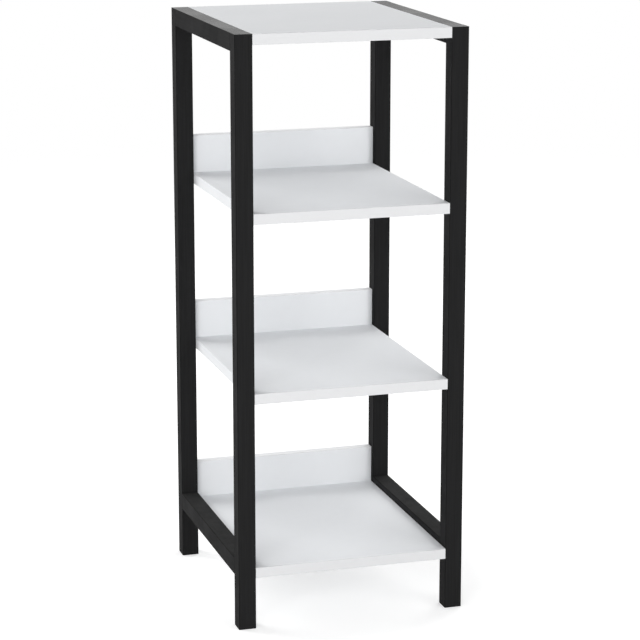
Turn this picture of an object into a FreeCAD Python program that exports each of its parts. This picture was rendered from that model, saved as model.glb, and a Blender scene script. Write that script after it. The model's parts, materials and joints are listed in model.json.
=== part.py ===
import FreeCAD, Part
import math
import os
from FreeCAD import Placement, Rotation, Vector

# Free-standing four-tier shelving unit, in millimetres.
# Two ladder-shaped side frames carry four boards, and the three lower boards have a back rail.
# The origin is on the floor under the middle of the unit: +X right, +Y to the rear, +Z up.

# Overall size
WIDTH = 400.0
DEPTH = 432.0
HEIGHT = 1010.0

# Sections and levels
POST = 30.0  # side of the square section of posts and side rails
BOARD = 18.0  # thickness of boards and back rails
BACK_RAIL_HEIGHT = 67.0
LEG_CLEARANCE = 90.0  # floor to the underside of the bottom shelf and the lower rails
SHELF_PITCH = 304.0  # from one shelf top to the next

# Eased edges
POST_RADIUS = 1.2
BOARD_CHAMFER = 0.5

# Stub tenons of the side rails
TENON_THICKNESS = 8.0
TENON_HEIGHT = 20.0
TENON_LENGTH = 15.0
TENON_WEB = 3.0  # wood between the mortise and the cam bolt's hole

# Cam bolts, screwed into the posts
BOLT_EDGE = 8.0  # from the bolt's axis to the face of the post that meets the side rail
BOLT_THREAD_DIAMETER = 5.0
BOLT_THREAD_LENGTH = 11.0
BOLT_COLLAR_DIAMETER = 7.4
BOLT_COLLAR_LENGTH = 2.0
BOLT_NECK_DIAMETER = 4.4
BOLT_HEAD_DIAMETER = 6.6
BOLT_HEAD_LENGTH = 3.5
BOLT_PLAY = 0.3  # round the bolt inside the board and the cam

# Cams, let into the undersides of the boards
CAM_DIAMETER = 15.0
CAM_DISTANCE = 24.0  # from the board's end to the cam's axis
CAM_ROOF = 0.9  # metal above the pocket
CAM_RECESS = 0.3  # cam face above the board's underside
CAM_PLAY = 0.1  # round the cam in its bore
CAM_OFFSET = 0.75  # eccentricity of the pocket, which draws the bolt in
CAM_GRIP = 0.15  # between the bolt's head and the pocket's wall
CAM_TURN = 160.0  # degrees from the open to the locked position
CROSS_LENGTH = 8.6  # driver recess in the cam's face
CROSS_WIDTH = 1.6
CROSS_DEPTH = 2.0

# Wooden dowels of the back rails
DOWEL_DIAMETER = 8.0
DOWEL_IN_POST = 12.0
DOWEL_IN_RAIL = 18.0
DOWEL_SPACING = 34.0

END_RELIEF = 0.5  # room at the bottom of every blind hole

# Small round pieces and their holes are drawn with flats, the same number on both
PIN_FLATS = 12
CAM_FLATS = 20
SLOT_STEPS = 6

# Worked-out sizes
INNER_HALF = WIDTH / 2 - POST
DEPTH_HALF = DEPTH / 2
SHOULDER = DEPTH_HALF - POST
BOLT_Y = SHOULDER + BOLT_EDGE
HEAD_START = CAM_DISTANCE - BOLT_HEAD_LENGTH
SLOT_HALF = BOLT_NECK_DIAMETER / 2 + BOLT_PLAY
POCKET_HALF = BOLT_HEAD_DIAMETER / 2 + BOLT_PLAY
CAM_HOUSING = BOARD / 2 + POCKET_HALF + CAM_ROOF
BOTTOM_TOP = LEG_CLEARANCE + BOARD
SHELF_TOPS = {
    "bottom_shelf": BOTTOM_TOP,
    "middle_shelf": BOTTOM_TOP + SHELF_PITCH,
    "upper_shelf": BOTTOM_TOP + 2 * SHELF_PITCH,
}
BOARD_TOPS = dict(SHELF_TOPS, top_board=HEIGHT)
BACK_RAIL_BOTTOMS = {
    "bottom_back_rail": SHELF_TOPS["bottom_shelf"],
    "middle_back_rail": SHELF_TOPS["middle_shelf"],
    "upper_back_rail": SHELF_TOPS["upper_shelf"],
}
SIDE_RAIL_BOTTOMS = {"lower_rail": LEG_CLEARANCE, "top_rail": HEIGHT - POST}
SIDES = {"left": -1, "right": 1}
ENDS = {"front": -1, "rear": 1}
X_AXIS = Vector(1, 0, 0)
Y_AXIS = Vector(0, 1, 0)
Z_AXIS = Vector(0, 0, 1)


def block(x, y, z):
    """Box between the two values given along each axis, in either order."""
    low = Vector(min(x), min(y), min(z))
    return Part.makeBox(abs(x[1] - x[0]), abs(y[1] - y[0]), abs(z[1] - z[0]), low)


def edges_along(shape, axis):
    """The straight edges of a box that run along an axis."""
    return [edge for edge in shape.Edges if edge.tangentAt(edge.FirstParameter).isParallel(axis, 1e-6)]


def rod(diameter, start, end, axis=X_AXIS, base=Vector(), flats=PIN_FLATS):
    """Bar on an axis through the base point, from one distance along the axis to another."""
    corners = [Rotation(Z_AXIS, 360 * i / flats).multVec(X_AXIS * diameter / 2) for i in range(flats)]
    section = Part.Face(Part.makePolygon(corners + corners[:1]))
    bar = section.extrude(Z_AXIS * (end - start))
    bar.Placement = Placement(base + axis * start, Rotation(Z_AXIS, axis))
    return bar


def at_joint(shape, side, y, z):
    """A copy of a joint piece, which is drawn with x = 0 on the post's inner face and +X into the board."""
    joint = Placement(Vector(side * INNER_HALF, y, z), Rotation(Z_AXIS, 90 + 90 * side))
    placed = shape.copy()
    placed.Placement = joint * shape.Placement
    return placed


def at_board_corners(shape, top):
    """The four copies of a joint piece at the corners of the board with this top face."""
    level = top - BOARD / 2
    return [at_joint(shape, side, end * BOLT_Y, level) for side in SIDES.values() for end in ENDS.values()]


def at_dowels(shape, sides, rail_bottom):
    """The copies of a dowel piece at the ends of one back rail, two above each other."""
    middle = rail_bottom + BACK_RAIL_HEIGHT / 2
    levels = (middle - DOWEL_SPACING / 2, middle + DOWEL_SPACING / 2)
    return [at_joint(shape, side, DEPTH_HALF - BOARD / 2, level) for side in sides for level in levels]


def tenon(side, end, rail_bottom, relief=0.0):
    """Stub tenon of a side rail, or with relief the mortise for it; it passes outside the cam bolt's hole."""
    inner = INNER_HALF + BOLT_THREAD_LENGTH + END_RELIEF + TENON_WEB
    low = rail_bottom + (POST - TENON_HEIGHT) / 2
    x = (side * inner, side * (inner + TENON_THICKNESS))
    y = (end * SHOULDER, end * (SHOULDER + TENON_LENGTH + relief))
    return block(x, y, (low, low + TENON_HEIGHT))


def post(side, end):
    """Square post with the mortises and holes for everything that meets it."""
    x = (side * INNER_HALF, side * WIDTH / 2)
    y = (end * SHOULDER, end * DEPTH_HALF)
    body = block(x, y, (0, HEIGHT))
    body = body.makeFillet(POST_RADIUS, edges_along(body, Z_AXIS))
    bolt_hole = rod(BOLT_THREAD_DIAMETER, -BOLT_THREAD_LENGTH - END_RELIEF, 0)
    dowel_hole = rod(DOWEL_DIAMETER, -DOWEL_IN_POST - END_RELIEF, 0)
    cuts = [tenon(side, end, bottom, END_RELIEF) for bottom in SIDE_RAIL_BOTTOMS.values()]
    for top in BOARD_TOPS.values():
        cuts.append(at_joint(bolt_hole, side, end * BOLT_Y, top - BOARD / 2))
    if end == ENDS["rear"]:
        for bottom in BACK_RAIL_BOTTOMS.values():
            cuts += at_dowels(dowel_hole, [side], bottom)
    return body.cut(cuts)


def side_rail(side, bottom):
    """Square rail between the front and the rear post of one side frame, with a tenon at each end."""
    x = (side * INNER_HALF, side * WIDTH / 2)
    body = block(x, (-SHOULDER, SHOULDER), (bottom, bottom + POST))
    body = body.makeFillet(POST_RADIUS, edges_along(body, Y_AXIS))
    return body.fuse([tenon(side, end, bottom) for end in ENDS.values()])


def board(top):
    """Full-depth board between the side frames, bored at its four corners for the cam locks."""
    body = block((-INNER_HALF, INNER_HALF), (-DEPTH_HALF, DEPTH_HALF), (top - BOARD, top))
    body = body.makeChamfer(BOARD_CHAMFER, edges_along(body, X_AXIS))
    channel = rod(BOLT_COLLAR_DIAMETER + 2 * BOLT_PLAY, 0, CAM_DISTANCE)
    housing = rod(CAM_DIAMETER, -BOARD / 2, CAM_HOUSING - BOARD / 2, Z_AXIS, X_AXIS * CAM_DISTANCE, CAM_FLATS)
    return body.cut(at_board_corners(channel.fuse(housing), top))


def back_rail(bottom):
    """Upstand on the rear edge of a shelf, held between the rear posts by dowels."""
    y = (DEPTH_HALF - BOARD, DEPTH_HALF)
    body = block((-INNER_HALF, INNER_HALF), y, (bottom, bottom + BACK_RAIL_HEIGHT))
    top_edges = [edge for edge in edges_along(body, X_AXIS) if edge.CenterOfMass.z > bottom]
    body = body.makeChamfer(BOARD_CHAMFER, top_edges)
    hole = rod(DOWEL_DIAMETER, 0, DOWEL_IN_RAIL + END_RELIEF)
    return body.cut(at_dowels(hole, SIDES.values(), bottom))


def cam_bolt():
    """Bolt in steps: thread in the post, collar on its face, then a neck and a head inside the cam."""
    thread = rod(BOLT_THREAD_DIAMETER, -BOLT_THREAD_LENGTH, 0)
    collar = rod(BOLT_COLLAR_DIAMETER, 0, BOLT_COLLAR_LENGTH)
    neck = rod(BOLT_NECK_DIAMETER, BOLT_COLLAR_LENGTH, HEAD_START)
    head = rod(BOLT_HEAD_DIAMETER, HEAD_START, CAM_DISTANCE)
    return thread.fuse([collar, neck, head])


def cam_pocket_radius():
    """Radius that puts the pocket's wall one grip from the head where the rim slot leaves it trapped."""
    trapped_half = math.sqrt((BOLT_HEAD_DIAMETER / 2) ** 2 - SLOT_HALF**2)
    return math.hypot(BOLT_HEAD_LENGTH + CAM_GRIP + CAM_OFFSET, trapped_half)


def rim_slot():
    """Sector round the cam's axis that the bolt's neck passes through while the cam turns."""
    head_half = BOLT_HEAD_DIAMETER / 2
    clear_of_head = math.sqrt(cam_pocket_radius() ** 2 - head_half**2) - CAM_OFFSET
    lead = math.degrees(math.atan2(POCKET_HALF, clear_of_head))
    angles = [180 - lead + (lead + CAM_TURN) * i / SLOT_STEPS for i in range(SLOT_STEPS + 1)]
    arc = [Rotation(Z_AXIS, angle).multVec(X_AXIS * CAM_DIAMETER) for angle in angles]
    sector = Part.Face(Part.makePolygon([Vector()] + arc + [Vector()]))
    sector.translate(X_AXIS * CAM_DISTANCE - Z_AXIS * SLOT_HALF)
    return sector.extrude(Z_AXIS * 2 * SLOT_HALF)


def cam():
    """Cam in its locked position: an eccentric pocket and a rim slot hold the head of the bolt."""
    axis = X_AXIS * CAM_DISTANCE
    face = CAM_RECESS - BOARD / 2
    body = rod(CAM_DIAMETER - 2 * CAM_PLAY, face, CAM_HOUSING - BOARD / 2, Z_AXIS, axis, CAM_FLATS)
    pocket_diameter = 2 * cam_pocket_radius() / math.cos(math.pi / PIN_FLATS)
    pocket = rod(pocket_diameter, -POCKET_HALF, POCKET_HALF, Z_AXIS, axis + X_AXIS * CAM_OFFSET)
    entry = rod(2 * POCKET_HALF, 0, CAM_DIAMETER, X_AXIS, axis)
    entry.rotate(axis, Z_AXIS, 180 + CAM_TURN)
    arm_x = (CAM_DISTANCE - CROSS_LENGTH / 2, CAM_DISTANCE + CROSS_LENGTH / 2)
    arm = block(arm_x, (-CROSS_WIDTH / 2, CROSS_WIDTH / 2), (face, face + CROSS_DEPTH))
    other_arm = arm.copy()
    other_arm.rotate(axis, Z_AXIS, 90)
    return body.cut([pocket, rim_slot(), entry, arm, other_arm])


def dowel():
    """Wooden dowel, part in the rear post and part in the back rail."""
    return rod(DOWEL_DIAMETER, -DOWEL_IN_POST, DOWEL_IN_RAIL)


def build():
    """Every node of the unit by name."""
    nodes = {}
    for side_name, side in SIDES.items():
        for end_name, end in ENDS.items():
            nodes[f"{side_name}_{end_name}_post"] = post(side, end)
        for rail_name, bottom in SIDE_RAIL_BOTTOMS.items():
            nodes[f"{side_name}_{rail_name}"] = side_rail(side, bottom)
    for name, top in BOARD_TOPS.items():
        nodes[name] = board(top)
        nodes[f"{name}_cam_bolts"] = Part.makeCompound(at_board_corners(cam_bolt(), top))
        nodes[f"{name}_cams"] = Part.makeCompound(at_board_corners(cam(), top))
    for name, bottom in BACK_RAIL_BOTTOMS.items():
        nodes[name] = back_rail(bottom)
        nodes[f"{name}_dowels"] = Part.makeCompound(at_dowels(dowel(), SIDES.values(), bottom))
    return nodes


os.makedirs("parts", exist_ok=True)
for node_name, shape in build().items():
    shape.exportStep(f"parts/{node_name}.step")
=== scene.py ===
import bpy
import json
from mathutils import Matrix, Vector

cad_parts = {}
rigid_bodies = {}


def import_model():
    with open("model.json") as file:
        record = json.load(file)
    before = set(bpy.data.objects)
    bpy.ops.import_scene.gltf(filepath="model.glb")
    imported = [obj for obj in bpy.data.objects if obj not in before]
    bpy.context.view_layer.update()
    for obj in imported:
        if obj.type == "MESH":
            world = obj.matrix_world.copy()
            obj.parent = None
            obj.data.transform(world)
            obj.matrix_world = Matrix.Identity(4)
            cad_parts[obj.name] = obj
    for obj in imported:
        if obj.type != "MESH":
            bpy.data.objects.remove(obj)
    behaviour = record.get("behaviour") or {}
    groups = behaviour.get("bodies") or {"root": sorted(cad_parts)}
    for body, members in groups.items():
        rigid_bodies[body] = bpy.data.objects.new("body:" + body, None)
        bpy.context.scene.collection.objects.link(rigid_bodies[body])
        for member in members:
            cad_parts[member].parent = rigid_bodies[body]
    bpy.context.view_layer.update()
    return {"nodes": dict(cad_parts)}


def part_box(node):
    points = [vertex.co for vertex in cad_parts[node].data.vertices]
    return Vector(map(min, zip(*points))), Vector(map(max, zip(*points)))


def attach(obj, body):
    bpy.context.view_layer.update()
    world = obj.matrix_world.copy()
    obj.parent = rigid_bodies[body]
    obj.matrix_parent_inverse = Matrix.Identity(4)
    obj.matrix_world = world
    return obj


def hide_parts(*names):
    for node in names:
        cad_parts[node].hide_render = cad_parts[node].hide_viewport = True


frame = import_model()

import json
import math

import bmesh
import bpy
from bpy.props import FloatProperty, FloatVectorProperty, IntProperty, PointerProperty
from mathutils import Matrix, Vector

bl_info = {
    "name": "Four-tier shelving unit",
    "version": (1, 0, 0),
    "blender": (4, 5, 0),
    "location": "3D View > Sidebar > Shelving Unit",
    "description": "Finishes the shelving unit's pieces and sets it in a plain studio",
    "category": "Object",
}

# Names in the packed model
BODY = "root"
BOARDS = ("top_board", "upper_shelf", "middle_shelf", "bottom_shelf")
BACK_RAILS = ("upper_back_rail", "middle_back_rail", "bottom_back_rail")
POSTS = ("left_front_post", "left_rear_post", "right_front_post", "right_rear_post")
SIDE_RAILS = ("left_top_rail", "left_lower_rail", "right_top_rail", "right_lower_rail")

# Axes of the packed model: to the right, to the rear and up
X, Y, Z = range(3)

# Fasteners of the packed model
PIN_FLATS = 12  # flats round a bolt or dowel
CAM_FLATS = 20  # flats round a cam
PER_NODE = 4  # like fasteners in one node

# Facets of the rounder fasteners made here
BOLT_SIDES = 24
CAM_SIDES = 64
BORE_SIDES = 48  # round the pocket and the entry of a cam
SLOT_STEPS = 32  # along the arc of the slot in a cam's rim
THREAD_STEPS = 8  # along one turn of a bolt's thread
FLUTE_STEPS = 6  # round one flute of a dowel
SHARP_ANGLE = math.radians(32)  # an edge that turns by more stays sharp

# Proportions of the fasteners
TIP_SHARE = 0.6  # a bolt's tip beside the root of its thread
RIDGE_SHARE = 0.6  # the ridge of the thread beside its pitch
RECESS_TAPER = 0.75  # the inner end of the driver recess's cutter beside its outer end
PAST_RIM = 2  # how far the cutters of a cam's rim reach, in radii of the cam

# Shading
BEVEL_SAMPLES = 6
FLECKS = 190.0  # flecks per metre along a worn edge
NO_REPEAT = 10.0  # metres: an edge band that comes again only far outside the unit
DULL_METAL = 0.78  # colour of a dull mark beside the plain metal
WORN_METAL = 1.2  # colour of a worn edge beside the plain metal
MIX_FACTOR, MIX_FIRST, MIX_SECOND, MIX_RESULT = 0, 6, 7, 2  # colour sockets of a Mix node

# Studio: places of the softboxes, whose powers are among the studio's values
SOFTBOXES = {
    "front_left": (-2.5, -3.6, 1.4),
    "front_right": (2.5, -3.6, 1.4),
    "rear_left": (-2.9, 2.7, 2.6),
    "rear_right": (2.9, 2.7, 2.6),
}
LAMP_AIM = Vector((0, 0, 0.5))
SENSOR_WIDTH = 36.0  # millimetres


# Kinds of value that a user may change
def colour(label, tells, default):
    """A colour."""
    return FloatVectorProperty(
        name=label, description=tells, subtype="COLOR", size=3, min=0, max=1, default=default
    )


def share(label, tells, default):
    """A value from 0 to 1."""
    return FloatProperty(
        name=label, description=tells, subtype="FACTOR", min=0, max=1, default=default
    )


def length(label, tells, default):
    """A length in metres."""
    return FloatProperty(
        name=label, description=tells, unit="LENGTH", min=0, precision=5, default=default
    )


def density(label, tells, default):
    """A number per metre."""
    return FloatProperty(name=label, description=tells, min=0, default=default)


def angle(label, tells, degrees):
    """An angle, given in degrees."""
    return FloatProperty(
        name=label, description=tells, unit="ROTATION", default=math.radians(degrees)
    )


def power(label, tells, watts):
    """A lamp's power."""
    return FloatProperty(name=label, description=tells, unit="POWER", min=0, default=watts)


class LacquerFinish(bpy.types.PropertyGroup):
    """Black lacquer on the posts and side rails."""

    lacquer: colour("Lacquer", "Colour of the lacquer", (0.0186, 0.0186, 0.0190))
    tone_spread: share("Tone spread", "How far the grain darkens and lightens the lacquer", 0.1)
    grain_across: density("Grain across", "Grain lines per metre across a piece", 420)
    grain_along: density("Grain along", "Changes of the grain per metre along a piece", 9)
    grain_relief: share("Grain relief", "Relief of the grain beside the spray texture's", 0.4)
    peel: length("Spray texture", "Size of one dimple of the sprayed lacquer", 0.0011)
    relief: length("Relief", "Depth of the spray texture", 0.00002)
    # The edge colour, its amount and its reach paint a dark shade line along the eased edges of the
    # posts and rails; the lacquer itself is no darker there.
    edge: colour(
        "Edge", "Colour along the edges, where the lacquer has gathered", (0.0050, 0.0050, 0.0052)
    )
    edge_amount: share("Edge amount", "How much of the edge colour shows", 0.85)
    edge_reach: length("Edge reach", "How far the gathered lacquer reaches from an edge", 0.0014)
    dust: colour("Dust", "Colour of the dust on faces that look up", (0.36, 0.36, 0.35))
    dust_amount: share("Dust amount", "How much of the dust shows", 0.05)
    dust_patch: length("Dust patch", "Size of one patch of dust", 0.02)
    roughness: share("Roughness", "Mean roughness of the lacquer", 0.65)
    roughness_spread: share("Roughness spread", "How far handling changes the roughness", 0.06)
    clouds: share("Clouds", "How far the spraying changes the roughness", 0.05)
    mark_size: length("Mark size", "Size of one handling mark", 0.09)
    rubbed: length("Rubbed above", "Height above which hands and cloths have rubbed faces smooth", 1.0)
    rubbed_fade: length("Rubbed fade", "Height over which the rubbed finish begins", 0.008)
    rubbed_least: share("Least rubbed", "Gloss of the rubbed faces where they are dullest", 0.39)
    rubbed_most: share("Most rubbed", "Gloss of the rubbed faces where they are smoothest", 0.55)


class BoardFinish(bpy.types.PropertyGroup):
    """White melamine on the boards and back rails."""

    face: colour("Face", "Colour of the melamine faces", (0.868, 0.882, 0.900))
    tone_spread: share("Tone spread", "How far soft clouds darken the faces", 0.025)
    pearl: length("Pearl", "Size of one bead of the embossed melamine", 0.0008)
    relief: length("Relief", "Height of the embossed beads", 0.000014)
    # The board band is darker than the faces: painted shade that tones down the lamp-lit front and
    # rear edges of the boards.
    board_band_shaded: colour("Board band", "Colour of the edge bands of the boards", (0.775, 0.780, 0.790))
    # The rail band is lighter than the faces and the board band: a painted highlight on the top edges
    # of the back rails.
    rail_band_highlight: colour("Rail band", "Colour of the edge bands of the back rails", (0.900, 0.905, 0.915))
    band_thickness: length("Band thickness", "Thickness of the edge bands", 0.0008)
    seam: colour("Seam", "Colour of the glue line beside an edge band", (0.50, 0.49, 0.47))
    seam_amount: share("Seam amount", "How much of the glue line shows", 0.55)
    edge_amount: share("Edge amount", "How far the edges take on the colour of the seam", 0.05)
    edge_reach: length("Edge reach", "How far that reaches from an edge", 0.0006)
    dust_amount: share("Dust amount", "How far dust takes faces that look up to that colour", 0.025)
    dust_patch: length("Dust patch", "Size of one patch of dust", 0.04)
    roughness: share("Roughness", "Mean roughness of the melamine", 0.6)
    roughness_spread: share("Roughness spread", "How far handling changes the roughness", 0.05)
    mark_size: length("Mark size", "Size of one handling mark", 0.12)


class CamLockLook(bpy.types.PropertyGroup):
    """Cams and cam bolts."""

    zinc: colour("Zinc", "Colour of the die-cast cams", (0.56, 0.57, 0.59))
    zinc_grain: length("Zinc grain", "Size of one grain of the casting", 0.0005)
    zinc_roughness: share("Zinc roughness", "Mean roughness of the cams", 0.42)
    steel: colour("Steel", "Colour of the plated bolts", (0.66, 0.65, 0.61))
    steel_grain: length("Steel grain", "Size of one grain of the plating", 0.0003)
    steel_roughness: share("Steel roughness", "Mean roughness of the bolts", 0.3)
    roughness_spread: share("Roughness spread", "How far the grain changes the roughness", 0.08)
    relief: length("Relief", "Height of the grain", 0.00003)
    mark_size: length("Mark size", "Size of one handling mark", 0.006)
    wear_reach: length("Wear reach", "How far the bright wear reaches from an edge", 0.0004)
    thread_radius: length("Thread radius", "Radius of a bolt over its thread", 0.0024)
    thread_core: length("Thread core", "Radius of a bolt at the root of its thread", 0.0018)
    thread_pitch: length("Thread pitch", "From one turn of the thread to the next", 0.0018)
    collar_radius: length("Collar radius", "Radius of the collar that stops on the post", 0.0035)
    collar_length: length("Collar length", "Length of the collar", 0.002)
    neck_radius: length("Neck radius", "Radius of a bolt between collar and head", 0.0021)
    head_radius: length("Head radius", "Radius of the head that the cam draws in", 0.0031)
    head_length: length("Head length", "Length of the head", 0.0035)
    eased: length("Eased edge", "Size of the eased edges of bolts and cams", 0.0004)
    pocket_radius: length("Pocket radius", "Radius of the pocket inside a cam", 0.0049)
    pocket_half: length(
        "Pocket half height", "Half the height of the pocket, and the radius of its entry", 0.0036
    )
    pocket_offset: length("Pocket offset", "How far the pocket is off the cam's axis", 0.00075)
    slot_half: length("Slot half height", "Half the height of the slot in the cam's rim", 0.0025)
    slot_lead: angle("Slot lead", "How far the slot goes on past the bolt", 51)
    cam_turn: angle("Cam turn", "From the open to the locked position", 160)
    cross_length: length("Cross length", "Length of one arm of the driver recess, end to end", 0.0086)
    cross_width: length("Cross width", "Width of one arm of the driver recess", 0.0016)
    cross_depth: length("Cross depth", "Depth of the driver recess", 0.002)


class DowelLook(bpy.types.PropertyGroup):
    """Wooden dowels."""

    beech_light: colour("Light beech", "Colour of the pale wood", (0.64, 0.45, 0.28))
    beech_dark: colour("Dark beech", "Colour of the grain lines", (0.45, 0.28, 0.16))
    grain_across: density("Grain across", "Grain lines per metre across a dowel", 1400)
    grain_along: density("Grain along", "Changes of the grain per metre along a dowel", 45)
    relief: length("Relief", "Depth of the grain", 0.00006)
    roughness: share("Roughness", "Mean roughness of the wood", 0.63)
    roughness_spread: share("Roughness spread", "How far handling changes the roughness", 0.07)
    mark_size: length("Mark size", "Size of one handling mark", 0.01)
    flutes: IntProperty(name="Flutes", description="Glue flutes round a dowel", min=3, default=16)
    flute_depth: length("Flute depth", "Depth of the glue flutes", 0.0004)
    eased: length("Eased end", "Size of the chamfer at the ends", 0.0009)


class StudioLook(bpy.types.PropertyGroup):
    """Floor, lamps, surroundings and camera."""

    floor: colour("Floor", "Colour of the floor", (0.86, 0.86, 0.86))
    floor_glow: share("Floor glow", "Light that whitens the floor in the picture", 0.45)
    floor_radius: length("Floor radius", "Where the floor has faded into the surroundings", 5.0)
    floor_plain: share("Plain floor", "Share of that radius over which the floor doesn't fade", 0.4)
    ambient: FloatProperty(
        name="Ambient", description="Light from all around", min=0, max=2, default=0.41
    )
    front_left_power: power("Front left softbox", "Power of the softbox at the front left", 72)
    front_right_power: power("Front right softbox", "Power of the softbox at the front right", 54)
    rear_left_power: power("Rear left softbox", "Power of the softbox at the rear left", 90)
    rear_right_power: power("Rear right softbox", "Power of the softbox at the rear right", 60)
    softbox_size: length("Softbox size", "Length of one side of a softbox", 2.4)
    camera_place: FloatVectorProperty(
        name="Camera", description="Where the camera stands", subtype="TRANSLATION",
        unit="LENGTH", default=(-1.1746, -3.8867, 1.4519),
    )
    camera_turn: FloatVectorProperty(
        name="Camera turn", description="How the camera is turned", subtype="EULER",
        unit="ROTATION", default=(math.radians(76.507), 0, math.radians(-16.935)),
    )
    lens: FloatProperty(
        name="Lens", description="Focal length", unit="CAMERA", default=133.604
    )


# Shader nodes
def add(tree, kind, inputs=None, **settings):
    """Adds a node with its settings, and sets or links its inputs."""
    node = tree.nodes.new(kind)
    for name, value in settings.items():
        setattr(node, name, value)
    for name, value in (inputs or {}).items():
        if isinstance(value, bpy.types.NodeSocket):
            tree.links.new(value, node.inputs[name])
        else:
            node.inputs[name].default_value = value
    return node


def maths(tree, operation, *values):
    """Output of a Math node."""
    return add(tree, "ShaderNodeMath", dict(enumerate(values)), operation=operation).outputs[0]


def scaled(tree, vector, factor):
    """A vector times a number."""
    inputs = {"Vector": vector, "Scale": factor}
    return add(tree, "ShaderNodeVectorMath", inputs, operation="SCALE").outputs[0]


def in_cells(tree, position, size):
    """A position counted in cells of a given size."""
    return scaled(tree, position, maths(tree, "DIVIDE", 1.0, size))


def ranged(tree, value, low, high, to_low=0.0, to_high=1.0):
    """A value taken smoothly from one range to another."""
    inputs = {"Value": value, "From Min": low, "From Max": high, "To Min": to_low, "To Max": to_high}
    return add(tree, "ShaderNodeMapRange", inputs, interpolation_type="SMOOTHSTEP").outputs["Result"]


def around(tree, value, middle, spread, low=0.0, high=1.0):
    """A value taken smoothly to a range on both sides of a middle."""
    return ranged(tree, value, low, high, middle - spread, middle + spread)


def noise(tree, vector, detail, roughness=0.5, distortion=0.0):
    """Noise with one cell per unit of the vector."""
    inputs = {
        "Vector": vector, "Scale": 1.0, "Detail": detail, "Roughness": roughness,
        "Distortion": distortion,
    }
    return add(tree, "ShaderNodeTexNoise", inputs).outputs["Fac"]


def opaque(tint):
    """A colour with the alpha that a socket takes, or a link as it is."""
    return tint if isinstance(tint, bpy.types.NodeSocket) else (*tint, 1.0)


def mixed(tree, factor, first, second):
    """A mix of two colours."""
    inputs = {MIX_FACTOR: factor, MIX_FIRST: opaque(first), MIX_SECOND: opaque(second)}
    return add(tree, "ShaderNodeMix", inputs, data_type="RGBA").outputs[MIX_RESULT]


def laid_over(tree, base, tint, mask, amount):
    """A colour with another laid over it where a mask says, up to an amount."""
    return mixed(tree, maths(tree, "MULTIPLY", mask, amount), base, tint)


def rounded(tree, reach):
    """Normal of the surface as if its edges were rounded."""
    return add(tree, "ShaderNodeBevel", {"Radius": reach}, samples=BEVEL_SAMPLES).outputs["Normal"]


def flecked(tree, mask, position, least):
    """A mask of edges, broken up along them down to a least value."""
    fleck_range = (0.30, 0.66)
    flecks = noise(tree, scaled(tree, position, FLECKS), detail=4.0, roughness=0.65)
    return maths(tree, "MULTIPLY", mask, ranged(tree, flecks, *fleck_range, least, 1.0))


# Effects that materials share
def new_group(name, sizes, outputs):
    """An empty node group that is given a position and sizes: (tree, inputs by name, output node)."""
    tree = bpy.data.node_groups.new(name, "ShaderNodeTree")
    tree.interface.new_socket("Position", in_out="INPUT", socket_type="NodeSocketVector")
    for label, default in sizes.items():
        kind = "NodeSocketVector" if isinstance(default, tuple) else "NodeSocketFloat"
        socket = tree.interface.new_socket(label, in_out="INPUT", socket_type=kind)
        socket.default_value = default
    for label in outputs:
        tree.interface.new_socket(label, in_out="OUTPUT", socket_type="NodeSocketFloat")
    start = tree.nodes.new("NodeGroupInput")
    end = tree.nodes.new("NodeGroupOutput")
    return tree, start.outputs, end


def fine_texture_group(name):
    """Small beads or dimples, for sprayed lacquer, embossed melamine and cast metal."""
    bead_softness = 0.6
    bead_relief = 0.6  # beside that of the waves between the beads
    clouds_per_cell = 0.05
    tree, given, end = new_group(name, {"Cell Size": 0.001}, ("Height", "Tone"))
    cells = in_cells(tree, given["Position"], given["Cell Size"])
    inputs = {"Vector": cells, "Scale": 1.0, "Smoothness": bead_softness}
    beads = add(tree, "ShaderNodeTexVoronoi", inputs, feature="SMOOTH_F1").outputs["Distance"]
    waves = noise(tree, cells, detail=2.0)
    height = maths(tree, "ADD", maths(tree, "MULTIPLY", beads, bead_relief), waves)
    clouds = noise(tree, scaled(tree, cells, clouds_per_cell), detail=3.0, roughness=0.6)
    tree.links.new(height, end.inputs["Height"])
    tree.links.new(clouds, end.inputs["Tone"])
    return tree


def wood_grain_group(name):
    """Grain lines along a piece, for beech and for wood under lacquer."""
    tone_range = (0.34, 0.68)
    pores_per_line = 3.1
    pore_range = (0.56, 0.74)
    pore_relief = 0.5  # beside that of the lines
    tree, given, end = new_group(name, {"Lines": (300.0, 300.0, 12.0)}, ("Height", "Tone"))
    inputs = {0: given["Position"], 1: given["Lines"]}
    along = add(tree, "ShaderNodeVectorMath", inputs, operation="MULTIPLY").outputs[0]
    lines = noise(tree, along, detail=4.0, roughness=0.62, distortion=0.5)
    pores = noise(tree, scaled(tree, along, pores_per_line), detail=2.0, roughness=0.7)
    pores = maths(tree, "MULTIPLY", ranged(tree, pores, *pore_range), pore_relief)
    tree.links.new(maths(tree, "SUBTRACT", lines, pores), end.inputs["Height"])
    tree.links.new(ranged(tree, lines, *tone_range), end.inputs["Tone"])
    return tree


def arris_group(name):
    """Mask of the eased edges of pieces with square sides, broken up along their length."""
    on_face, on_edge = 0.99, 0.86  # largest part of the rounded normal
    least = 0.6
    tree, given, end = new_group(name, {"Reach": 0.001}, ("Mask",))
    inputs = {0: rounded(tree, given["Reach"])}
    square = add(tree, "ShaderNodeVectorMath", inputs, operation="ABSOLUTE").outputs[0]
    parts = add(tree, "ShaderNodeSeparateXYZ", {"Vector": square}).outputs
    largest = maths(tree, "MAXIMUM", maths(tree, "MAXIMUM", parts["X"], parts["Y"]), parts["Z"])
    mask = flecked(tree, ranged(tree, largest, on_face, on_edge), given["Position"], least)
    tree.links.new(mask, end.inputs["Mask"])
    return tree


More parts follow.
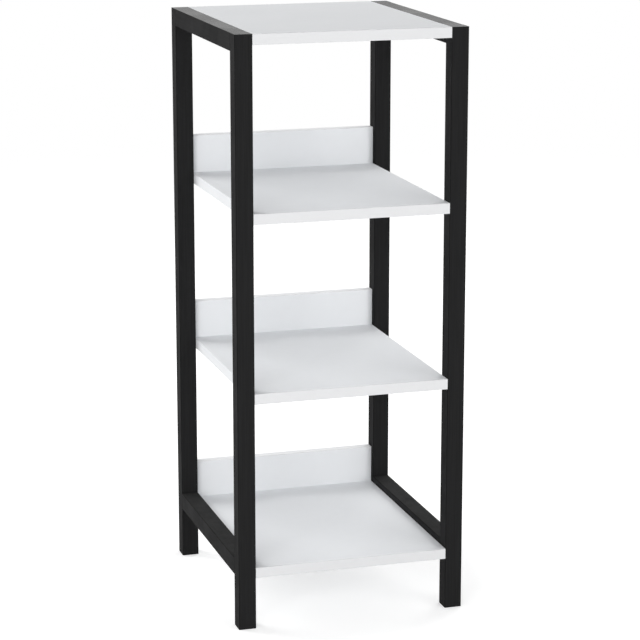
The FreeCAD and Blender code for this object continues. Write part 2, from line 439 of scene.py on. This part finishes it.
def edge_wear_group(name):
    """Mask of the edges of small metal pieces, broken up along their length."""
    on_face, on_edge = 0.995, 0.84  # how far the rounded normal agrees with the plain one
    least = 0.25
    tree, given, end = new_group(name, {"Reach": 0.001}, ("Mask",))
    plain = add(tree, "ShaderNodeNewGeometry").outputs["Normal"]
    inputs = {0: rounded(tree, given["Reach"]), 1: plain}
    agrees = add(tree, "ShaderNodeVectorMath", inputs, operation="DOT_PRODUCT").outputs["Value"]
    mask = flecked(tree, ranged(tree, agrees, on_face, on_edge), given["Position"], least)
    tree.links.new(mask, end.inputs["Mask"])
    return tree


def settled_dust_group(name):
    """Mask of dust on the faces that look up."""
    up_range = (0.55, 0.98)  # upward part of the normal, from bare to dusty
    patch_range = (0.28, 0.72)
    least = 0.45
    tree, given, end = new_group(name, {"Patch Size": 0.03}, ("Mask",))
    normal = add(tree, "ShaderNodeNewGeometry").outputs["Normal"]
    up = add(tree, "ShaderNodeSeparateXYZ", {"Vector": normal}).outputs["Z"]
    cells = in_cells(tree, given["Position"], given["Patch Size"])
    patches = noise(tree, cells, detail=8.0, roughness=0.7)
    patches = ranged(tree, patches, *patch_range, least, 1.0)
    mask = maths(tree, "MULTIPLY", ranged(tree, up, *up_range), patches)
    tree.links.new(mask, end.inputs["Mask"])
    return tree


def handling_marks_group(name):
    """Soft patches where hands and cloths have changed the sheen."""
    patch_range = (0.3, 0.7)
    tree, given, end = new_group(name, {"Patch Size": 0.08}, ("Value",))
    cells = in_cells(tree, given["Position"], given["Patch Size"])
    patches = noise(tree, cells, detail=5.0, roughness=0.6, distortion=0.3)
    tree.links.new(ranged(tree, patches, *patch_range), end.inputs["Value"])
    return tree


def edge_band_group(name):
    """Masks of an edge band and its glue line, at a distance from the origin that may repeat."""
    seam_range = (0.00012, 0.00004)  # metres from the glue line, from clear to full
    sizes = {"Axis": (0.0, 1.0, 0.0), "Repeat": NO_REPEAT, "Place": 0.2, "Thickness": 0.001}
    tree, given, end = new_group(name, sizes, ("Band", "Seam"))
    inputs = {0: given["Position"], 1: given["Axis"]}
    along = add(tree, "ShaderNodeVectorMath", inputs, operation="DOT_PRODUCT").outputs["Value"]
    along = maths(tree, "MODULO", maths(tree, "ABSOLUTE", along), given["Repeat"])
    depth = maths(tree, "SUBTRACT", given["Place"], along)
    inner = maths(tree, "SUBTRACT", depth, given["Thickness"])
    seam = ranged(tree, maths(tree, "ABSOLUTE", inner), *seam_range)
    tree.links.new(maths(tree, "LESS_THAN", inner, 0.0), end.inputs["Band"])
    tree.links.new(seam, end.inputs["Seam"])
    return tree


EFFECTS = {
    "Fine Texture": fine_texture_group,
    "Wood Grain": wood_grain_group,
    "Arris": arris_group,
    "Edge Wear": edge_wear_group,
    "Settled Dust": settled_dust_group,
    "Handling Marks": handling_marks_group,
    "Edge Band": edge_band_group,
}


def effect(tree, name, place, sizes):
    """Places a shared effect in a material, building its group the first time: its outputs by name."""
    group = bpy.data.node_groups.get(name) or EFFECTS[name](name)
    return add(tree, "ShaderNodeGroup", {"Position": place, **sizes}, node_tree=group).outputs


# Finishes
def bare_material(name):
    """A material without nodes: (material, tree)."""
    material = bpy.data.materials.new(name)
    material.use_nodes = True
    material.node_tree.nodes.clear()
    return material, material.node_tree


def new_material(name, constants):
    """A material with a principled surface: (material, tree, surface, position in metres)."""
    material, tree = bare_material(name)
    surface = add(tree, "ShaderNodeBsdfPrincipled", constants)
    add(tree, "ShaderNodeOutputMaterial", {"Surface": surface.outputs["BSDF"]})
    return material, tree, surface, add(tree, "ShaderNodeTexCoord").outputs["Object"]


def set_bump(tree, surface, height, depth):
    """Feeds the surface's normal from a height, in metres of full relief."""
    inputs = {"Height": height, "Distance": depth, "Strength": 1.0}
    tree.links.new(add(tree, "ShaderNodeBump", inputs).outputs["Normal"], surface.inputs["Normal"])


def lacquer_material(name, lines, finish):
    """Satin black lacquer over wood whose grain runs along the piece."""
    looks_up = 0.5  # dust mask at which a face surely looks up
    constants = {"Specular IOR Level": 0.02, "Coat Roughness": 0.22, "Coat IOR": 1.5}
    material, tree, surface, place = new_material(name, constants)
    grain = effect(tree, "Wood Grain", place, {"Lines": lines})
    spray = effect(tree, "Fine Texture", place, {"Cell Size": finish.peel})
    marks = effect(tree, "Handling Marks", place, {"Patch Size": finish.mark_size})
    arris = effect(tree, "Arris", place, {"Reach": finish.edge_reach})
    dust = effect(tree, "Settled Dust", place, {"Patch Size": finish.dust_patch})
    deep = [(1 - finish.tone_spread) * part for part in finish.lacquer]
    pale = [(1 + finish.tone_spread) * part for part in finish.lacquer]
    base = mixed(tree, grain["Tone"], deep, pale)
    # Painted shade: a dark line laid along the eased edges of the posts and rails.
    base = laid_over(tree, base, finish.edge, arris["Mask"], finish.edge_amount)
    base = laid_over(tree, base, finish.dust, dust["Mask"], finish.dust_amount)
    tree.links.new(base, surface.inputs["Base Color"])
    sheen = around(tree, marks["Value"], finish.roughness, finish.roughness_spread)
    sheen = maths(tree, "ADD", sheen, maths(tree, "MULTIPLY", spray["Tone"], finish.clouds))
    tree.links.new(sheen, surface.inputs["Roughness"])
    level = add(tree, "ShaderNodeSeparateXYZ", {"Vector": place}).outputs["Z"]
    rubbed = ranged(tree, level, finish.rubbed, finish.rubbed + finish.rubbed_fade)
    rubbed = maths(tree, "MULTIPLY", rubbed, ranged(tree, dust["Mask"], 0.0, looks_up))
    gloss = ranged(tree, marks["Value"], 0.0, 1.0, finish.rubbed_least, finish.rubbed_most)
    tree.links.new(maths(tree, "MULTIPLY", rubbed, gloss), surface.inputs["Coat Weight"])
    pores = maths(tree, "MULTIPLY", grain["Height"], finish.grain_relief)
    set_bump(tree, surface, maths(tree, "ADD", spray["Height"], pores), finish.relief)
    return material


def board_material(name, band, band_place, finish):
    """White melamine with an edge band along the edges that show."""
    material, tree, surface, place = new_material(name, {"Specular IOR Level": 0.12})
    pearl = effect(tree, "Fine Texture", place, {"Cell Size": finish.pearl})
    marks = effect(tree, "Handling Marks", place, {"Patch Size": finish.mark_size})
    dust = effect(tree, "Settled Dust", place, {"Patch Size": finish.dust_patch})
    arris = effect(tree, "Arris", place, {"Reach": finish.edge_reach})
    edge = effect(tree, "Edge Band", place, {**band_place, "Thickness": finish.band_thickness})
    dim = [(1 - finish.tone_spread) * part for part in finish.face]
    base = mixed(tree, pearl["Tone"], dim, finish.face)
    # The band colour carries painted light: shade on the boards' edges, a highlight on the back rails'
    # top edges.
    base = mixed(tree, edge["Band"], base, band)
    base = laid_over(tree, base, finish.seam, edge["Seam"], finish.seam_amount)
    base = laid_over(tree, base, finish.seam, arris["Mask"], finish.edge_amount)
    base = laid_over(tree, base, finish.seam, dust["Mask"], finish.dust_amount)
    tree.links.new(base, surface.inputs["Base Color"])
    sheen = around(tree, marks["Value"], finish.roughness, finish.roughness_spread)
    tree.links.new(sheen, surface.inputs["Roughness"])
    set_bump(tree, surface, pearl["Height"], finish.relief)
    return material


def metal_material(name, metal, grain, roughness, look):
    """Dull metal with a fine grain, handling marks and bright edges."""
    tone_range = (0.3, 0.7)
    material, tree, surface, place = new_material(name, {"Metallic": 1.0})
    cast = effect(tree, "Fine Texture", place, {"Cell Size": grain})
    marks = effect(tree, "Handling Marks", place, {"Patch Size": look.mark_size})
    wear = effect(tree, "Edge Wear", place, {"Reach": look.wear_reach})
    dull = [DULL_METAL * part for part in metal]
    bright = [min(1.0, WORN_METAL * part) for part in metal]
    base = mixed(tree, marks["Value"], dull, metal)
    base = mixed(tree, wear["Mask"], base, bright)
    tree.links.new(base, surface.inputs["Base Color"])
    sheen = around(tree, cast["Tone"], roughness, look.roughness_spread, *tone_range)
    tree.links.new(sheen, surface.inputs["Roughness"])
    set_bump(tree, surface, cast["Height"], look.relief)
    return material


def beech_material(name, look):
    """Plain beech with its grain along the dowels."""
    lines = (look.grain_along, look.grain_across, look.grain_across)
    material, tree, surface, place = new_material(name, {"Specular IOR Level": 0.3})
    grain = effect(tree, "Wood Grain", place, {"Lines": lines})
    marks = effect(tree, "Handling Marks", place, {"Patch Size": look.mark_size})
    base = mixed(tree, grain["Tone"], look.beech_dark, look.beech_light)
    tree.links.new(base, surface.inputs["Base Color"])
    sheen = around(tree, marks["Value"], look.roughness, look.roughness_spread)
    tree.links.new(sheen, surface.inputs["Roughness"])
    set_bump(tree, surface, grain["Height"], look.relief)
    return material


def give(node_names, material):
    """Puts a material on CAD nodes, in their own slots."""
    for name in node_names:
        if name not in frame["nodes"]:
            raise RuntimeError(f"the packed model has no node named {name}")
        slots = frame["nodes"][name].material_slots
        if not slots:
            raise RuntimeError(f"node {name} has no material slot")
        for slot in slots:
            slot.material = material


class SHELF_OT_side_frames(bpy.types.Operator):
    """Lacquers the four posts and the four side rails"""

    bl_idname = "shelf.side_frames"
    bl_label = "Side Frames"

    def execute(self, context):
        finish = context.scene.shelf_lacquer
        across, along = finish.grain_across, finish.grain_along
        give(POSTS, lacquer_material("black_lacquer_upright", (across, across, along), finish))
        give(SIDE_RAILS, lacquer_material("black_lacquer_level", (across, along, across), finish))
        return {"FINISHED"}


class SHELF_OT_boards(bpy.types.Operator):
    """Faces the four boards with white melamine"""

    bl_idname = "shelf.boards"
    bl_label = "Boards"

    def execute(self, context):
        finish = context.scene.shelf_boards
        front_and_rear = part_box(BOARDS[0])[1].y
        place = {"Axis": (0.0, 1.0, 0.0), "Repeat": NO_REPEAT, "Place": front_and_rear}
        # The board band colour paints shade on the boards' front and rear edges.
        give(BOARDS, board_material("white_melamine", finish.board_band_shaded, place, finish))
        return {"FINISHED"}


class SHELF_OT_back_rails(bpy.types.Operator):
    """Faces the three back rails with white melamine"""

    bl_idname = "shelf.back_rails"
    bl_label = "Back Rails"

    def execute(self, context):
        finish = context.scene.shelf_boards
        tops = sorted(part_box(name)[1].z for name in BACK_RAILS)
        pitch = tops[1] - tops[0]
        place = {"Axis": (0.0, 0.0, 1.0), "Repeat": pitch, "Place": tops[0] % pitch}
        # The rail band colour paints a highlight on the rails' top edges.
        give(BACK_RAILS, board_material("white_melamine_rail", finish.rail_band_highlight, place, finish))
        return {"FINISHED"}


# Fasteners
def post_face():
    """How far the inner faces of the posts are from the middle of the unit."""
    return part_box(BOARDS[0])[1].x


def joint_places(name, axes):
    """Where the like pieces of a CAD node sit, told apart along two axes.

    At each place x = 0 is on the post's inner face, and +X goes into the board.
    """
    low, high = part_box(name)
    middle = (low + high) / 2
    corners = {}
    for vertex in frame["nodes"][name].data.vertices:
        corner = tuple(vertex.co[axis] > middle[axis] for axis in axes)
        corners.setdefault(corner, []).append(vertex.co)
    if len(corners) != PER_NODE:
        raise RuntimeError(f"node {name} doesn't hold {PER_NODE} pieces")
    places = []
    for corner in sorted(corners):
        x, y, z = ((min(values) + max(values)) / 2 for values in zip(*corners[corner]))
        side = math.copysign(1.0, x)
        turn = Matrix.Rotation(math.pi if side > 0 else 0.0, 4, "Z")
        places.append(Matrix.Translation((side * post_face(), y, z)) @ turn)
    return places


def reaches(name):
    """How far the pieces of a CAD node go into the post and into the board."""
    along = [abs(vertex.co.x) for vertex in frame["nodes"][name].data.vertices]
    return max(along) - post_face(), post_face() - min(along)


def as_mesh(shape):
    """The finished mesh of a closed shape."""
    bmesh.ops.recalc_face_normals(shape, faces=shape.faces)
    mesh = bpy.data.meshes.new("piece")
    shape.to_mesh(mesh)
    shape.free()
    return mesh


def turned(stations, sides):
    """Closed mesh round the X axis from stations of (distance, radius).

    A radius may be a function of the angle.
    """
    shape = bmesh.new()
    rings = []
    for x, radius in stations:
        rings.append([])
        for i in range(sides):
            turn = math.tau * i / sides
            out = radius(turn) if callable(radius) else radius
            rings[-1].append(shape.verts.new((x, out * math.cos(turn), out * math.sin(turn))))
    for ring, following in zip(rings, rings[1:]):
        for i in range(sides):
            shape.faces.new((ring[i - 1], ring[i], following[i], following[i - 1]))
    shape.faces.new(rings[0])
    shape.faces.new(rings[-1])
    return as_mesh(shape)


def eased_disc(start, end, radius, eased):
    """Stations of a disc with eased edges."""
    return [
        (start, radius - eased), (start + eased, radius),
        (end - eased, radius), (end, radius - eased),
    ]


def prism(outline, low, high, taper=1.0):
    """Closed mesh between two heights over an outline, drawn in by the taper at its upper end."""
    shape = bmesh.new()
    rings = [
        [shape.verts.new((x * narrow, y * narrow, z)) for x, y in outline]
        for z, narrow in ((low, 1.0), (high, taper))
    ]
    for i in range(len(outline)):
        shape.faces.new((rings[0][i - 1], rings[0][i], rings[1][i], rings[1][i - 1]))
    shape.faces.new(rings[0])
    shape.faces.new(rings[1])
    return as_mesh(shape)


def placed(mesh, matrix):
    """The mesh, moved."""
    mesh.transform(matrix)
    return mesh


def cut(mesh, tools):
    """The mesh less the tool meshes."""
    linked = bpy.context.scene.collection.objects
    body = bpy.data.objects.new("body", mesh)
    linked.link(body)
    helpers = [body]
    for tool in tools:
        helper = bpy.data.objects.new("tool", tool)
        linked.link(helper)
        helpers.append(helper)
        modifier = body.modifiers.new("cut", "BOOLEAN")
        modifier.operation = "DIFFERENCE"
        modifier.solver = "EXACT"
        modifier.object = helper
    bpy.context.view_layer.update()
    graph = bpy.context.evaluated_depsgraph_get()
    result = bpy.data.meshes.new_from_object(body.evaluated_get(graph))
    for helper in helpers:
        bpy.data.meshes.remove(helper.data)  # which takes the helper with it
    if not result.polygons:
        raise RuntimeError("nothing is left of a cut piece")
    return result


def stand_in(node, mesh, places, material):
    """One piece with a copy of the mesh at each place, which stands for a CAD node."""
    shape = bmesh.new()
    for place in places:
        copy = placed(mesh.copy(), place)
        shape.from_mesh(copy)
        bpy.data.meshes.remove(copy)
    bpy.data.meshes.remove(mesh)
    piece = bpy.data.objects.new(f"{node}_fine", as_mesh(shape))
    piece.data.shade_smooth()
    piece.data.set_sharp_from_angle(angle=SHARP_ANGLE)
    piece.data.materials.append(material)
    bpy.context.scene.collection.objects.link(piece)
    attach(piece, BODY)
    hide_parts(node)


def cam_bolt_mesh(look, in_post, in_board):
    """Bolt with a coarse thread, a collar, a neck and a head."""

    def thread(x):
        ends = min(1.0, (x + in_post) / look.thread_pitch, -x / look.thread_pitch)

        def radius(turn):
            phase = (x / look.thread_pitch + turn / math.tau) % 1.0
            crest = max(0.0, 1.0 - abs(2.0 * phase - 1.0) / RIDGE_SHARE)
            return look.thread_core + (look.thread_radius - look.thread_core) * crest * ends

        return radius

    neck_start = look.collar_length
    neck_end = in_board - look.head_length
    steps = math.ceil(THREAD_STEPS * in_post / look.thread_pitch)
    stations = [(-in_post, TIP_SHARE * look.thread_core)]
    for i in range(1, steps + 1):
        x = -in_post * (1 - i / steps)
        stations.append((x, thread(x)))
    stations += eased_disc(0, neck_start, look.collar_radius, look.eased)
    stations += [(neck_start, look.neck_radius), (neck_end, look.neck_radius)]
    stations += eased_disc(neck_end, in_board, look.head_radius, look.eased)
    return turned(stations, BOLT_SIDES)


def cam_mesh(look, radius, face, top, distance):
    """Locked cam: an eccentric pocket, an entry for the bolt's head, a slot and a driver recess."""
    axis = Matrix.Translation((distance, 0, 0))
    upright = axis @ Matrix.Rotation(math.radians(-90), 4, "Y")
    body = placed(turned(eased_disc(face, top, radius, look.eased), CAM_SIDES), upright)
    half = look.pocket_half
    pocket = turned([(-half, look.pocket_radius), (half, look.pocket_radius)], BORE_SIDES)
    pocket = placed(placed(pocket, upright), Matrix.Translation((look.pocket_offset, 0, 0)))
    past_rim = PAST_RIM * radius
    entry = turned([(0, half), (past_rim, half)], BORE_SIDES)
    entry = placed(entry, axis @ Matrix.Rotation(math.pi + look.cam_turn, 4, "Z"))
    first = math.pi - look.slot_lead
    last = math.pi + look.cam_turn
    turns = [first + (last - first) * i / SLOT_STEPS for i in range(SLOT_STEPS + 1)]
    rim = [(past_rim * math.cos(turn), past_rim * math.sin(turn)) for turn in turns]
    slot = placed(prism([(0, 0), *rim], -look.slot_half, look.slot_half), axis)
    long = look.cross_length / 2
    wide = look.cross_width / 2
    arms = [(long, wide), (wide, wide), (wide, long), (-wide, long), (-wide, wide), (-long, wide)]
    arms += [(-x, -y) for x, y in arms]
    cross = prism(arms, -look.cross_depth, look.cross_depth, RECESS_TAPER)
    cross = placed(cross, Matrix.Translation((distance, 0, face)))
    return cut(body, [pocket, entry, slot, cross])


def dowel_mesh(look, radius, in_post, in_rail):
    """Dowel with glue flutes and chamfered ends."""

    def fluted(turn):
        return radius - look.flute_depth * (0.5 - 0.5 * math.cos(look.flutes * turn)) ** 2

    ends = radius - look.eased
    stations = [
        (-in_post, ends), (look.eased - in_post, fluted),
        (in_rail - look.eased, fluted), (in_rail, ends),
    ]
    return turned(stations, FLUTE_STEPS * look.flutes)


class SHELF_OT_cam_bolts(bpy.types.Operator):
    """Turns the sixteen cam bolts and puts them in the posts"""

    bl_idname = "shelf.cam_bolts"
    bl_label = "Cam Bolts"

    def execute(self, context):
        look = context.scene.shelf_cam_locks
        material = metal_material(
            "plated_steel", look.steel, look.steel_grain, look.steel_roughness, look
        )
        for name in BOARDS:
            node = f"{name}_cam_bolts"
            mesh = cam_bolt_mesh(look, *reaches(node))
            stand_in(node, mesh, joint_places(node, (X, Y)), material)
        return {"FINISHED"}


class SHELF_OT_cams(bpy.types.Operator):
    """Casts the sixteen cams and puts them in the undersides of the boards"""

    bl_idname = "shelf.cams"
    bl_label = "Cams"

    def execute(self, context):
        look = context.scene.shelf_cam_locks
        material = metal_material(
            "die_cast_zinc", look.zinc, look.zinc_grain, look.zinc_roughness, look
        )
        for name in BOARDS:
            node = f"{name}_cams"
            bolts = f"{name}_cam_bolts"
            places = joint_places(bolts, (X, Y))
            level = places[0].translation.z
            low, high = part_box(node)
            distance = reaches(bolts)[1]
            radius = (high.x - (post_face() - distance)) * math.cos(math.pi / CAM_FLATS)
            mesh = cam_mesh(look, radius, low.z - level, high.z - level, distance)
            stand_in(node, mesh, places, material)
        return {"FINISHED"}


class SHELF_OT_dowels(bpy.types.Operator):
    """Turns the twelve dowels of the back rails"""

    bl_idname = "shelf.dowels"
    bl_label = "Dowels"

    def execute(self, context):
        look = context.scene.shelf_dowels
        material = beech_material("beech", look)
        for name in BACK_RAILS:
            node = f"{name}_dowels"
            low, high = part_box(node)
            radius = (high.y - low.y) / 2 * math.cos(math.pi / PIN_FLATS)
            mesh = dowel_mesh(look, radius, *reaches(node))
            stand_in(node, mesh, joint_places(node, (X, Z)), material)
        return {"FINISHED"}


# Studio
def seen_directly(tree):
    """1 for camera, mirror and glass rays, and 0 for the rays that only carry light."""
    path = add(tree, "ShaderNodeLightPath").outputs
    eye = maths(tree, "MAXIMUM", path["Is Camera Ray"], path["Is Glossy Ray"])
    return maths(tree, "MAXIMUM", eye, path["Is Transmission Ray"])


def make_floor(look):
    """Plain pale floor that keeps the unit's shadow, fades out far away and is clear from below."""
    far = look.floor_radius
    mesh = bpy.data.meshes.new("floor")
    corners = [(-far, -far, 0), (far, -far, 0), (far, far, 0), (-far, far, 0)]
    mesh.from_pydata(corners, [], [(0, 1, 2, 3)])
    floor = bpy.data.objects.new("floor", mesh)
    bpy.context.scene.collection.objects.link(floor)
    material, tree = bare_material("floor_paint")
    paint = add(tree, "ShaderNodeBsdfDiffuse", {"Color": opaque(look.floor)})
    strength = maths(tree, "MULTIPLY", seen_directly(tree), look.floor_glow)
    glow = add(tree, "ShaderNodeEmission", {"Strength": strength})
    lit = add(tree, "ShaderNodeAddShader", {0: paint.outputs[0], 1: glow.outputs[0]})
    place = add(tree, "ShaderNodeTexCoord").outputs["Object"]
    away = add(tree, "ShaderNodeVectorMath", {0: place}, operation="LENGTH").outputs["Value"]
    faded = ranged(tree, away, look.floor_plain * far, far)
    below = add(tree, "ShaderNodeNewGeometry").outputs["Backfacing"]
    clear = add(tree, "ShaderNodeBsdfTransparent")
    hidden = maths(tree, "MAXIMUM", faded, below)
    sides = add(tree, "ShaderNodeMixShader", {0: hidden, 1: lit.outputs[0], 2: clear.outputs[0]})
    add(tree, "ShaderNodeOutputMaterial", {"Surface": sides.outputs[0]})
    mesh.materials.append(material)


def make_surroundings(look):
    """White all round in the picture, and even light of a lower strength."""
    world = bpy.data.worlds.new("studio")
    world.use_nodes = True
    tree = world.node_tree
    tree.nodes.clear()
    strength = ranged(tree, seen_directly(tree), 0.0, 1.0, look.ambient, 1.0)
    white = add(tree, "ShaderNodeBackground", {"Color": (1.0, 1.0, 1.0, 1.0), "Strength": strength})
    add(tree, "ShaderNodeOutputWorld", {"Surface": white.outputs[0]})
    bpy.context.scene.world = world


def softbox(name, place, size, watts):
    """Square area lamp, turned to the unit, that neither the camera nor a mirror shows."""
    lamp = bpy.data.lights.new(name, "AREA")
    lamp.size = size
    lamp.energy = watts
    box = bpy.data.objects.new(name, lamp)
    box.location = place
    box.rotation_euler = (LAMP_AIM - Vector(place)).to_track_quat("-Z", "Y").to_euler()
    box.visible_camera = False
    box.visible_glossy = False
    bpy.context.scene.collection.objects.link(box)


def make_camera(look):
    """The scene's camera, with a plain lens and everything in focus."""
    camera = bpy.data.objects.new("camera", bpy.data.cameras.new("camera"))
    camera.data.sensor_width = SENSOR_WIDTH
    camera.data.lens = look.lens
    camera.location = look.camera_place
    camera.rotation_euler = look.camera_turn
    bpy.context.scene.collection.objects.link(camera)
    bpy.context.scene.camera = camera


class SHELF_OT_studio(bpy.types.Operator):
    """Sets up the floor, the surroundings, the lamps and the camera"""

    bl_idname = "shelf.studio"
    bl_label = "Studio"

    def execute(self, context):
        look = context.scene.shelf_studio
        context.scene.view_settings.view_transform = "Standard"
        make_floor(look)
        make_surroundings(look)
        for name, place in SOFTBOXES.items():
            softbox(f"{name}_softbox", place, look.softbox_size, getattr(look, f"{name}_power"))
        make_camera(look)
        return {"FINISHED"}


# Add-on
LOOKS = {
    "shelf_lacquer": LacquerFinish,
    "shelf_boards": BoardFinish,
    "shelf_cam_locks": CamLockLook,
    "shelf_dowels": DowelLook,
    "shelf_studio": StudioLook,
}
OPERATORS = (
    SHELF_OT_side_frames,
    SHELF_OT_boards,
    SHELF_OT_back_rails,
    SHELF_OT_cam_bolts,
    SHELF_OT_cams,
    SHELF_OT_dowels,
    SHELF_OT_studio,
)


class SHELF_PT_unit(bpy.types.Panel):
    """Lists the unit's pieces, their finishes and the studio"""

    bl_idname = "SHELF_PT_unit"
    bl_label = "Shelving Unit"
    bl_space_type = "VIEW_3D"
    bl_region_type = "UI"
    bl_category = "Shelving Unit"

    def draw(self, context):
        for operator in OPERATORS:
            self.layout.operator(operator.bl_idname)
        for name, kind in LOOKS.items():
            look = getattr(context.scene, name)
            part = self.layout.box()
            part.label(text=kind.__doc__)
            for prop in kind.__annotations__:
                part.prop(look, prop)


def register():
    """Registers the classes, and gives each scene its values."""
    for kind in (*LOOKS.values(), *OPERATORS, SHELF_PT_unit):
        bpy.utils.register_class(kind)
    for name, kind in LOOKS.items():
        setattr(bpy.types.Scene, name, PointerProperty(type=kind))


def unregister():
    """Takes away what register has put in."""
    for name in LOOKS:
        delattr(bpy.types.Scene, name)
    for kind in (SHELF_PT_unit, *reversed(OPERATORS), *reversed(LOOKS.values())):
        bpy.utils.unregister_class(kind)


def main():
    """Registers the add-on and runs its operators in order."""
    register()
    bpy.ops.shelf.side_frames()
    bpy.ops.shelf.boards()
    bpy.ops.shelf.back_rails()
    bpy.ops.shelf.cam_bolts()
    bpy.ops.shelf.cams()
    bpy.ops.shelf.dowels()
    bpy.ops.shelf.studio()


if __name__ == "__main__":
    main()
